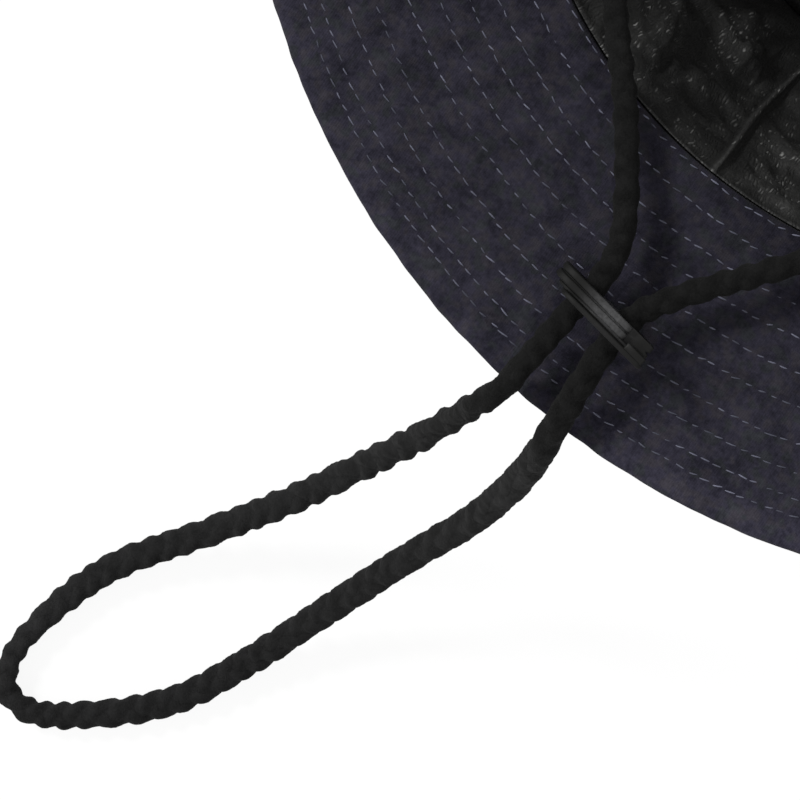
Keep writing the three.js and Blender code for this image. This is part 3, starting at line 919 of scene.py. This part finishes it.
# Lining wall
# A loose black knitted mesh inside the crown, sewn in under the brim. It hangs in soft folds and rumples,
# shines a little, with painted sheen and painted glints in its colour besides, and is closed by one raised
# seam that runs down its side.
mesh_thickness = 1 * mm
lining_columns = 680
lining_rim = crown_height - 1 * mm
lining_folds = [
    # degrees round, lean, depth, spread
    (-128, 26, 0.045, 6),
    (-108, -22, 0.035, 5.5),
    (-84, 30, 0.05, 6),
    (-62, -14, 0.03, 5.5),
    (-22, 24, 0.04, 7),
    (26, -28, 0.035, 6.5),
    (64, 18, 0.045, 7),
    (112, -20, 0.04, 7),
    (158, 26, 0.035, 6),
    (-160, -16, 0.04, 6.5),
]


def lining_radius(angle, height):
    """Outside of the lining: the crown's inside with a little room, pulled in by leaning folds."""
    share = (height - wall_foot) / (lining_rim - wall_foot)
    fold = 0
    for at, lean, depth, spread in lining_folds:
        fold = fold + depth * crown_height * bell(degrees_from(at + lean * (share - 0.5), angle), spread)
    return crown_radius(angle, height) - cotton_thickness - 2 * gap - fold * np.sin(np.pi * share)


def rumples(angle, height):
    """Finer rumples of the loose mesh: bumps bent by slower bumps, with sharper crests."""
    bent_angle = angle + 0.05 * crinkle(angle, height, 30 * mm, 51, wall_middle)
    bent_height = height + 4 * mm * crinkle(angle, height, 26 * mm, 52, wall_middle)
    soft = crinkle(bent_angle, bent_height, 15 * mm, 53, wall_middle)
    crest = 1 - np.abs(crinkle(bent_angle, bent_height, 11 * mm, 54, wall_middle))
    small = crinkle(bent_angle, bent_height, 5 * mm, 55, wall_middle)
    return 0.55 * soft + 0.5 * crest + 0.16 * small


glinting_mesh = pattern_group("glinting_mesh", "Holes per metre", ("Yarn", "Glint"))


def build_glinting_mesh(tree):
    """Knitted mesh as uneven cells: yarn is the wall between two cells and its height falls into their
    middles. Glint marks a small spot in most cells, where a loop of yarn shines: a painted highlight, since
    the lining paints these spots pale into its colour."""
    inside = add_node(tree, "NodeGroupInput").outputs
    scaled = times(tree, inside["Place"], inside["Holes per metre"])
    cells = add_node(
        tree, "ShaderNodeTexVoronoi", {"Vector": scaled, "Scale": 1.0, "Randomness": 0.55}
    ).outputs
    yarn = ranged(tree, cells["Distance"], 0.2, 0.6)
    spot = ranged(tree, cells["Distance"], 0.36, 0.1)
    drawn = add_node(tree, "ShaderNodeSeparateColor", {"Color": cells["Color"]}).outputs["Red"]
    glint = calculated(tree, "MULTIPLY", spot, ranged(tree, drawn, 0.2, 0.9))
    add_node(tree, "NodeGroupOutput", {"Yarn": yarn, "Glint": glint})


build_glinting_mesh(glinting_mesh)


def lining_material(name, place_kind):
    """Black knitted mesh, with painted sheen and painted glints in its colour. The piece's sheen attribute
    marks patches of painted sheen and glints, and, below zero, patches of painted shade; soft random patches
    add more painted sheen.
    """
    material, tree, shader = blank_material(name, 0.6, 0.35)
    object_place, place = pattern_places(tree, place_kind)
    strayed = add_node(
        tree, "ShaderNodeTexNoise", {"Vector": object_place, "Scale": 260, "Detail": 2}
    ).outputs["Color"]
    strayed = times(tree, strayed, 2.2 * mm)
    place = add_node(tree, "ShaderNodeVectorMath", {0: place, 1: strayed}, operation="ADD").outputs[0]
    knit = add_node(tree, "ShaderNodeGroup", node_tree=glinting_mesh)
    knit.inputs["Holes per metre"].default_value = 1600
    tree.links.new(stretched(tree, place, (1, 0.2, 1)), knit.inputs["Place"])
    grit = noise(tree, object_place, 1500, 2, 0.6)
    patches = noise(tree, object_place, 150, 4, 0.6)
    shine = calculated(tree, "MULTIPLY_ADD", patches, 1.3, mesh_value(tree, "shine"))
    shine = ranged(tree, shine, 0.55, 1.12)
    # Painted sheen: the yarn is painted lighter where the sheen share is high and darker where it is low,
    # and the glint spots are painted pale grey into it as painted highlights, most where the sheen is
    dull = colour_between(tree, grit, (0.0052, 0.0052, 0.0050), (0.0150, 0.0150, 0.0144))
    sheen_colour = colour_between(tree, grit, (0.0150, 0.0150, 0.0146), (0.0520, 0.0520, 0.0505))
    yarn = colour_between(tree, shine, dull, sheen_colour)
    lit = calculated(tree, "MULTIPLY", knit.outputs["Glint"], shine)
    tree.links.new(colour_between(tree, lit, yarn, (0.38, 0.38, 0.37)), shader.inputs["Base Color"])
    height = calculated(tree, "MULTIPLY_ADD", grit, 0.9, knit.outputs["Yarn"])
    raise_surface(tree, shader, height, 0.6, 0.2 * mm)
    return material


painted_sheen_patches = [
    # degrees round, height as a share, spread in degrees, spread of the height, painted sheen (painted shade
    # where below zero)
    (-113, 0.82, 2.2, 0.16, 0.5),
    (-109.5, 0.98, 2.0, 0.06, 0.3),
    (-107.3, 0.78, 0.9, 0.2, -0.35),
    (-103.6, 0.42, 2.4, 0.11, 0.8),
    (-106.2, 0.68, 1.0, 0.09, -0.3),
    (-101.6, 0.95, 1.3, 0.08, 0.3),
    (-99, 0.78, 1.4, 0.08, 0.12),
    (-92, 0.72, 1.8, 0.12, 0.32),
    (-87.5, 0.9, 2.6, 0.1, 0.22),
    (-99, 0.4, 1.6, 0.14, -0.3),
    (-97.5, 0.1, 4.0, 0.1, -0.25),
]


def painted_sheen_of(angle, share):
    """Painted sheen and glints on the lining, and painted shade where it is below zero: a few soft patches.
    """
    total = 0
    for at, level, spread, reach, strength in painted_sheen_patches:
        total = total + strength * bell(degrees_from(at, angle), spread) * bell(share - level, reach)
    return total


# The columns stand closer together on the side with the seam
even_angle = full_turn(lining_columns)
lining_angle = even_angle - 0.6 * np.sin(even_angle - np.radians(-95))
lining_heights = np.linspace(wall_foot, lining_rim, 66)[:, None]
lining_share = (lining_heights - wall_foot) / (lining_rim - wall_foot)
seam_place = -96.2 + 3 * (1 - lining_share) + 0.35 * np.sin(8 * lining_share)
from_seam = run_from(seam_place, lining_angle)
free = np.sin(np.pi * np.clip(lining_share, 0.0, 1)) ** 0.6 * (1 - 0.85 * bell(from_seam, 3 * mm))
seam_ridge = 1.1 * mm * bell(from_seam, 0.5 * mm) - 0.25 * mm * bell(from_seam - 1.2 * mm, 0.5 * mm)
outer = lining_radius(lining_angle, lining_heights)
# The mesh gets thin where it is sewn in at the rim, and its seam runs out there
from_rim = 14 * (1 - lining_share)
inner = outer - mesh_thickness * np.clip(from_rim, 0.25, 1)
inner = inner - (1.9 * mm * rumples(lining_angle, lining_heights) * free).clip(-0.5 * mm, 4 * mm)
inner = inner - seam_ridge * np.clip(8 * lining_share, 0, 1) * np.clip(from_rim, 0, 1)
wall_painted_sheen = painted_sheen_of(lining_angle, lining_share)
# Painted highlight along the seam's ridge and painted shade in the groove beside it
wall_painted_sheen = wall_painted_sheen + 0.9 * bell(from_seam, 0.4 * mm) - 1.2 * bell(from_seam - 1.0 * mm, 0.5 * mm)
wall_painted_sheen = np.concatenate([wall_painted_sheen, wall_painted_sheen[::-1]])
lining_wall = round_wall(
    "lining_wall_mesh", lining_angle, lining_heights, outer, inner,
    lining_material("lining_knit", "UV"), [("shine", wall_painted_sheen)],
)
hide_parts("lining_wall")


# Lining top
# The same black knitted mesh, cut round and sewn to the foot of the lining's wall. It lies loose over
# the crown's top in low mounds.
lining_billow = 3.2 * mm
lining_top_middle = 60 * mm
top_rings = np.linspace(0.04, 1, 36)[:, None]
top_edge = lining_radius(tip_angle, wall_foot) - mesh_thickness - gap
swell = 0.6 + 0.4 * np.cos(3 * tip_angle + np.radians(200 * top_rings))
mound = wall_foot + lining_billow * np.sin(np.pi * top_rings) * swell
loose = 0.45 * mm * crinkle(tip_angle, 0 * top_rings, 40 * mm, 61, lining_top_middle)
loose = loose + 0.35 * mm * crinkle(tip_angle, top_rings * 80 * mm, 12 * mm, 62, lining_top_middle)
loose = (loose * np.sin(np.pi * top_rings)).clip(-0.6 * mm, 2 * mm)
lower = np.stack([top_edge * top_rings, mound], axis=-1)
upper = np.stack([top_edge * top_rings, mound + mesh_thickness + loose], axis=-1)
lining_top = add_panel(
    "lining_top_mesh", np.concatenate([lower, upper[::-1]]), (wall_foot + 0.2 * mm, wall_foot + 1.2 * mm),
    lining_material("lining_top_knit", "Object"),
)
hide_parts("lining_top")


# Floor and light
# A plain white table, itself a little bright so that shadows on it stay pale, a wide soft sky and one
# soft lamp from the picture's upper left.
table_reach = 3.0
table_drop = 0.4 * mm
towards_lamp = Vector((-0.745, 0.221, 0.629))
table_corners = np.array([(-1, -1, 0), (1, -1, 0), (1, 1, 0), (-1, 1, 0)]) * table_reach - [0, 0, table_drop]
floor_mesh = bpy.data.meshes.new("floor")
floor_mesh.from_pydata(table_corners.tolist(), [], [(0, 1, 2, 3)])
floor = bpy.data.objects.new("floor", floor_mesh)
bpy.context.scene.collection.objects.link(floor)
white_table, tree, shader = blank_material("white_table", 0.9, 0.0)
shader.inputs["Base Color"].default_value = (0.12, 0.12, 0.12, 1)
shader.inputs["Emission Color"].default_value = (1, 1, 1, 1)
shader.inputs["Emission Strength"].default_value = 0.9
floor_mesh.materials.append(white_table)

world = bpy.data.worlds.new("world")
world.use_nodes = True
world.node_tree.nodes["Background"].inputs["Color"].default_value = (1, 1, 1, 1)
world.node_tree.nodes["Background"].inputs["Strength"].default_value = 0.7
bpy.context.scene.world = world
lamp_data = bpy.data.lights.new("lamp", "SUN")
lamp_data.energy = 2.5
lamp_data.angle = np.radians(14)
lamp = bpy.data.objects.new("lamp", lamp_data)
lamp.rotation_mode = "QUATERNION"
lamp.rotation_quaternion = towards_lamp.to_track_quat("Z", "Y")
bpy.context.scene.collection.objects.link(lamp)
bpy.context.scene.view_settings.view_transform = "Standard"
